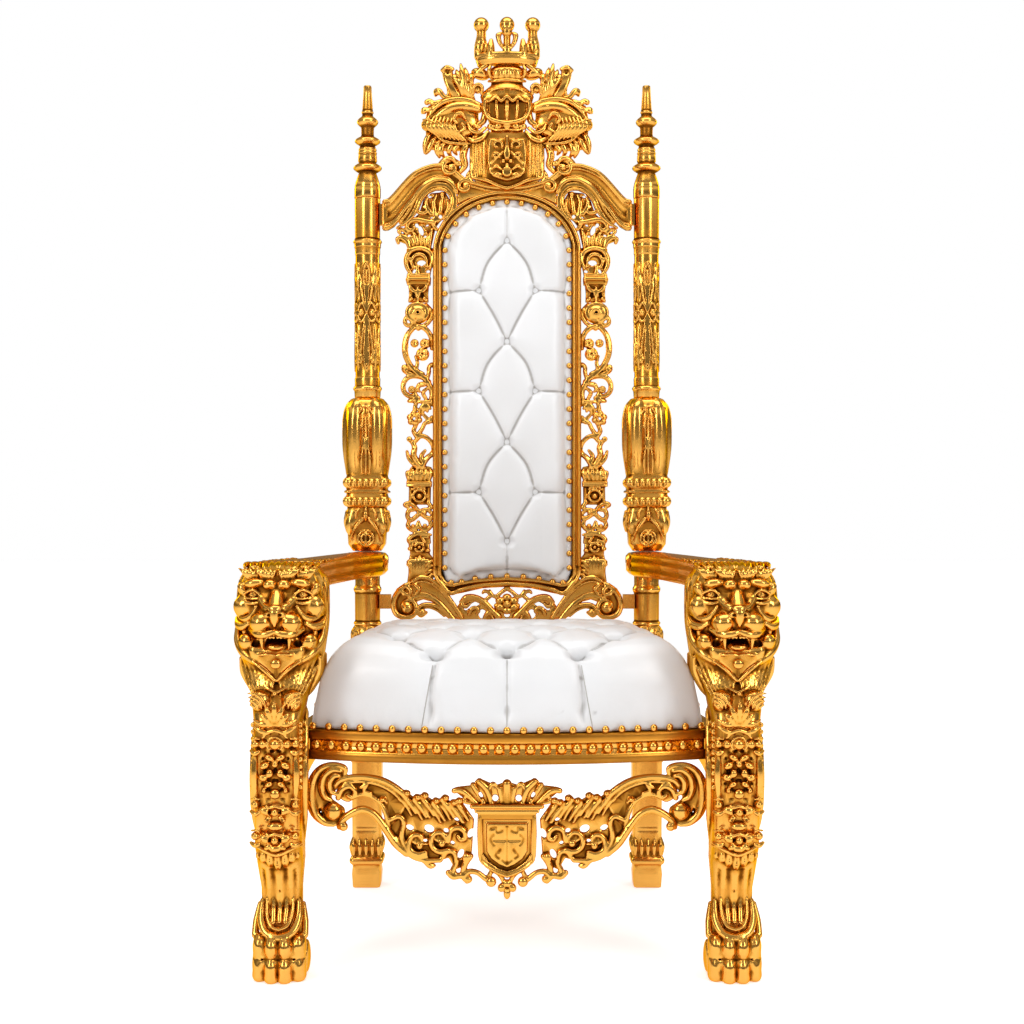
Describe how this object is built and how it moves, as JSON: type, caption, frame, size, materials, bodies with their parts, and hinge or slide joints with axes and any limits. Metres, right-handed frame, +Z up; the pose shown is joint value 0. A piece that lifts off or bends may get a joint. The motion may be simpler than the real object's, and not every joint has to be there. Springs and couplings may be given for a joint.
{
  "type": "throne",
  "caption": "Carved gilt high-back throne with lion-head arms, paw feet, pierced back frame, arched crest and white button-tufted leather seat and back.",
  "frame": {"origin": "centre of the part's bounding box at floor level, under the middle of the seat", "axes": "+Z up through the back, +X from the middle towards the right-hand side as seen from the front, -Y towards the front where the lion heads and paws face"},
  "size_m": [0.925, 0.7819, 1.824],
  "materials": {
    "gold": "burnished gilding on carved hardwood, with brown left in the recesses",
    "timber": "plain sawn hardwood and board, unseen in use",
    "white_leather": "semi-gloss white upholstery leather, button tufted"
  },
  "bodies": {
    "root": {"front_leg_left": "gold", "front_leg_right": "gold", "arm_left": "gold", "arm_right": "gold", "finial_left": "gold", "finial_right": "gold", "post_left": "gold", "post_right": "gold", "column_left": "gold", "column_right": "gold", "console_left": "gold", "console_right": "gold", "rear_leg_left": "gold", "rear_leg_right": "gold", "seat_rail_left": "gold", "seat_rail_right": "gold", "seat_rail_front": "gold", "seat_rail_back": "gold", "front_apron": "gold", "back_frame": "gold", "crest_rail": "gold", "crest_carving": "gold", "crest_tenon_left": "gold", "crest_tenon_right": "gold", "bracket_tenon_left": "gold", "bracket_tenon_right": "gold", "seat_deck": "timber", "seat_cushion": "white_leather", "back_cushion": "white_leather", "back_board": "white_leather"}
  },
  "joints": []
}
